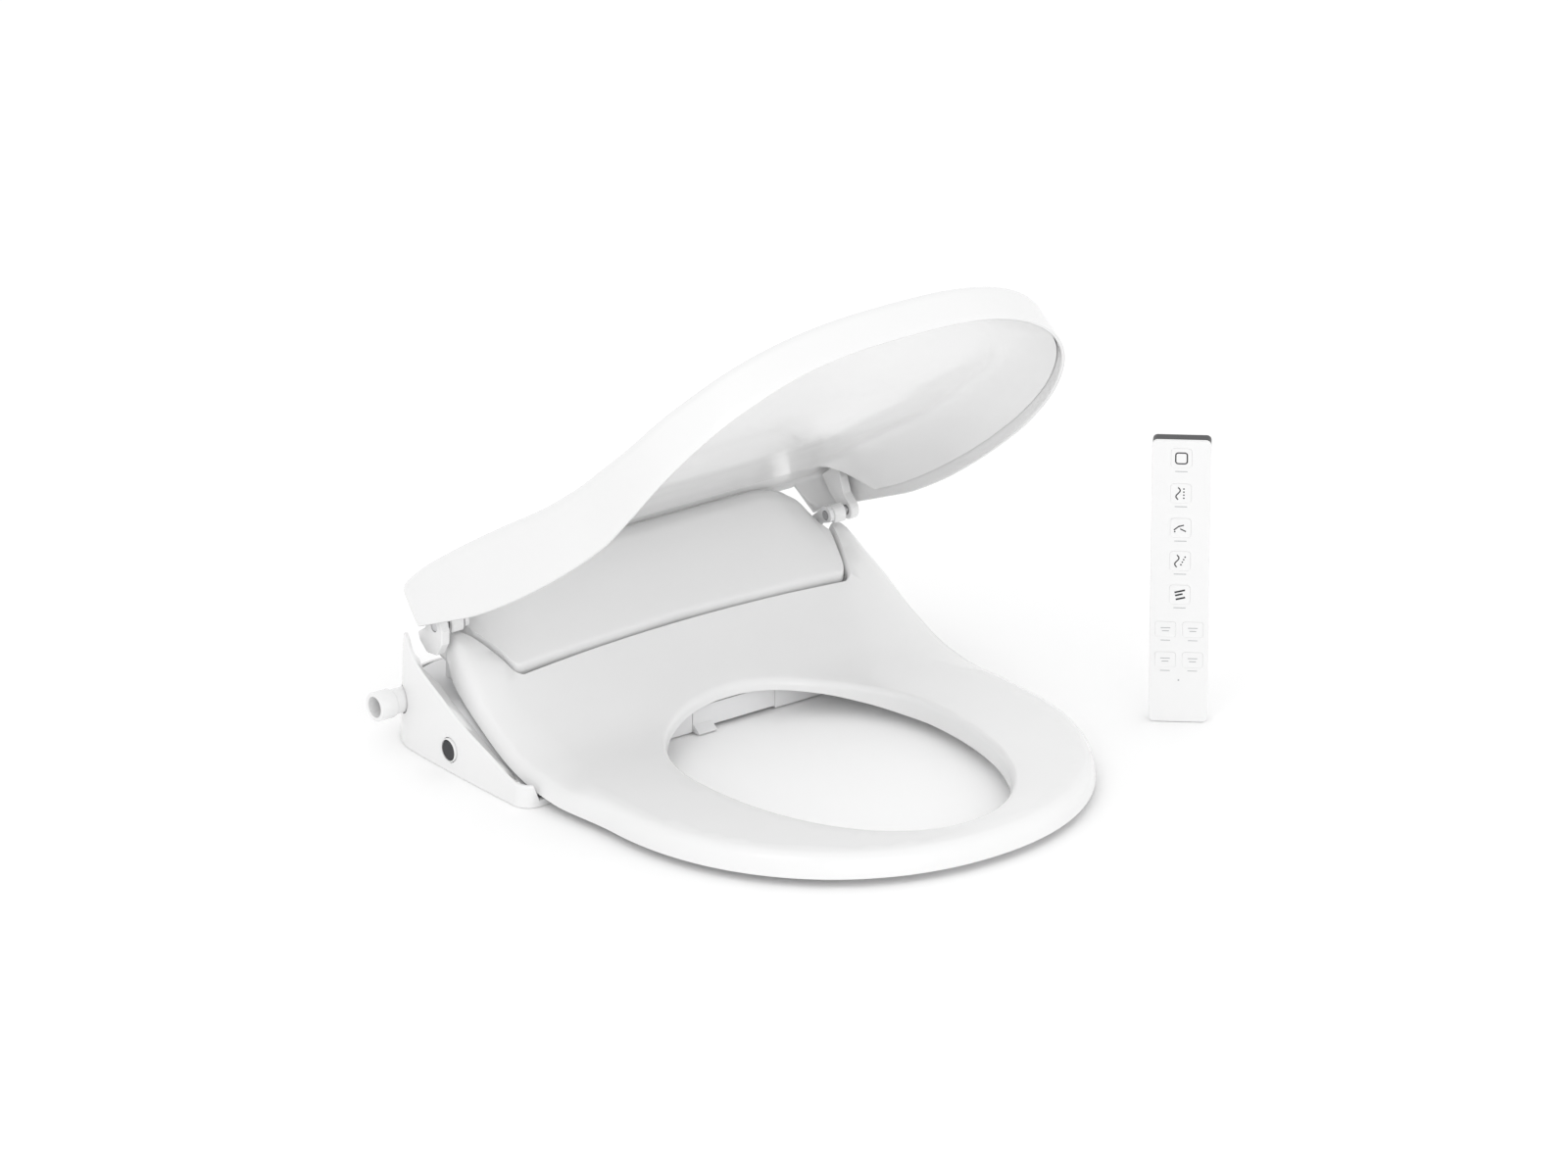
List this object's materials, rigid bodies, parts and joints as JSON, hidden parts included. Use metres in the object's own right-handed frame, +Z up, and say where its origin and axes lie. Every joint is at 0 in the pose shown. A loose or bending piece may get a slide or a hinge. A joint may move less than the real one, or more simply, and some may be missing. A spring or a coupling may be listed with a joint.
{
  "type": "electric bidet seat",
  "caption": "Electric bidet toilet seat: contoured ring, half-open lid, rear housing with water inlet and side button, retracting spray wand, and an upright remote control.",
  "frame": {"origin": "underside of the mounting bracket, midway between the two fixing bolt slots", "axes": "+X to the right for someone who stands in front of the seat and looks at it, +Y to the rear, +Z up; the lid is half open"},
  "size_m": [0.5228, 0.4726, 0.3884],
  "materials": {
    "white_gloss": "glossy white moulded plastic",
    "white_satin": "satin white moulded plastic",
    "grey": "satin grey moulded plastic",
    "dark": "near-black glossy plastic",
    "rubber": "matt pale grey rubber",
    "steel": "satin stainless steel",
    "copper": "bare heating foil",
    "board": "green solder mask"
  },
  "bodies": {
    "base": {"lower_case": "white_gloss", "base_plate": "white_satin", "deck": "white_satin", "top_cover": "white_gloss", "mounting_bracket": "grey", "nozzle_fascia": "white_satin", "hinge_bracket_left": "white_satin", "hinge_bracket_right": "white_satin", "hinge_pin_left": "steel", "hinge_pin_right": "steel", "nozzle_cradle": "white_satin", "nozzle_motor": "grey", "heater_tank": "white_satin", "inlet_valve": "grey", "pump": "grey", "circuit_board": "board", "power_supply": "dark", "hose_valve_tank": "rubber", "hose_tank_pump": "rubber", "hose_pump_nozzle": "rubber", "water_inlet": "white_gloss", "cord_gland": "rubber", "dryer_housing": "grey", "button_bezel": "white_gloss"},
    "seat": {"seat_top": "white_gloss", "seat_underside": "white_satin", "seat_heater": "copper", "seat_ear_left": "white_gloss", "seat_ear_right": "white_gloss", "seat_bumper_front_left": "rubber", "seat_bumper_front_right": "rubber", "seat_bumper_rear_left": "rubber", "seat_bumper_rear_right": "rubber"},
    "lid": {"lid_shell": "white_gloss", "lid_liner": "white_gloss", "lid_arm_left": "white_gloss", "lid_arm_right": "white_gloss"},
    "nozzle": {"nozzle_wand": "white_gloss", "nozzle_tip": "steel"},
    "gate": {"nozzle_gate": "white_satin"},
    "pinion": {"drive_pinion": "grey"},
    "button": {"side_button": "dark"},
    "impeller": {"dryer_impeller": "dark"},
    "cartridge": {"deodoriser_cartridge": "white_satin"},
    "remote": {"remote_front": "white_gloss", "remote_back": "white_satin", "remote_window": "dark", "remote_board": "board", "battery": "steel"},
    "remote_door": {"battery_door": "white_satin"},
    "key_1": {"remote_key_1": "white_gloss"},
    "key_2": {"remote_key_2": "white_gloss"},
    "key_3": {"remote_key_3": "white_gloss"},
    "key_4": {"remote_key_4": "white_gloss"},
    "key_5": {"remote_key_5": "white_gloss"},
    "small_key_1": {"remote_small_key_1": "white_gloss"},
    "small_key_2": {"remote_small_key_2": "white_gloss"},
    "small_key_3": {"remote_small_key_3": "white_gloss"},
    "small_key_4": {"remote_small_key_4": "white_gloss"}
  },
  "joints": [
    {"name": "seat_hinge", "type": "hinge", "parent": "base", "child": "seat", "pos_m": [0, -0.006, 0.094], "axis": [-1, 0, 0], "range_deg": [0, 50]},
    {"name": "lid_hinge", "type": "hinge", "parent": "seat", "child": "lid", "pos_m": [0, -0.006, 0.094], "axis": [1, 0, 0], "range_deg": [-50, 48]},
    {"name": "nozzle_slide", "type": "slide", "parent": "base", "child": "nozzle", "axis": [0, -0.848, -0.5299], "range_m": [0, 0.066]},
    {"name": "gate_hinge", "type": "hinge", "parent": "base", "child": "gate", "pos_m": [0.009, -0.1006, 0.0186], "axis": [-1, 0, 0], "range_deg": [0, 75]},
    {"name": "pinion_spin", "type": "hinge", "parent": "base", "child": "pinion", "pos_m": [0.009, -0.02674, 0.06269], "axis": [-1, 0, 0], "range_deg": [0, 720]},
    {"name": "side_button_press", "type": "slide", "parent": "base", "child": "button", "axis": [1, 0, 0], "range_m": [0, 0.0015], "stiffness_N_per_m": 700},
    {"name": "impeller_spin", "type": "hinge", "parent": "base", "child": "impeller", "pos_m": [0.126, -0.066, 0.005], "axis": [0, 0, 1], "continuous": true},
    {"name": "cartridge_slide", "type": "slide", "parent": "base", "child": "cartridge", "axis": [0, 1, 0], "range_m": [0, 0.04]},
    {"name": "remote_lift", "type": "slide", "parent": "base", "child": "remote", "axis": [0, 0, 1], "range_m": [0, 0.1]},
    {"name": "battery_door_pull", "type": "slide", "parent": "remote", "child": "remote_door", "axis": [0.6561, 0.7547, 0], "range_m": [0, 0.012]},
    {"name": "key_1_press", "type": "slide", "parent": "remote", "child": "key_1", "axis": [0.6561, 0.7547, 0], "range_m": [0, 0.0007], "stiffness_N_per_m": 800},
    {"name": "key_2_press", "type": "slide", "parent": "remote", "child": "key_2", "axis": [0.6561, 0.7547, 0], "range_m": [0, 0.0007], "stiffness_N_per_m": 800},
    {"name": "key_3_press", "type": "slide", "parent": "remote", "child": "key_3", "axis": [0.6561, 0.7547, 0], "range_m": [0, 0.0007], "stiffness_N_per_m": 800},
    {"name": "key_4_press", "type": "slide", "parent": "remote", "child": "key_4", "axis": [0.6561, 0.7547, 0], "range_m": [0, 0.0007], "stiffness_N_per_m": 800},
    {"name": "key_5_press", "type": "slide", "parent": "remote", "child": "key_5", "axis": [0.6561, 0.7547, 0], "range_m": [0, 0.0007], "stiffness_N_per_m": 800},
    {"name": "small_key_1_press", "type": "slide", "parent": "remote", "child": "small_key_1", "axis": [0.6561, 0.7547, 0], "range_m": [0, 0.0007], "stiffness_N_per_m": 800},
    {"name": "small_key_2_press", "type": "slide", "parent": "remote", "child": "small_key_2", "axis": [0.6561, 0.7547, 0], "range_m": [0, 0.0007], "stiffness_N_per_m": 800},
    {"name": "small_key_3_press", "type": "slide", "parent": "remote", "child": "small_key_3", "axis": [0.6561, 0.7547, 0], "range_m": [0, 0.0007], "stiffness_N_per_m": 800},
    {"name": "small_key_4_press", "type": "slide", "parent": "remote", "child": "small_key_4", "axis": [0.6561, 0.7547, 0], "range_m": [0, 0.0007], "stiffness_N_per_m": 800}
  ],
  "couplings": [
    {"joint": "gate_hinge", "follows": "nozzle_slide", "rad_per_m": 19.8},
    {"joint": "pinion_spin", "follows": "nozzle_slide", "rad_per_m": 166.67}
  ]
}
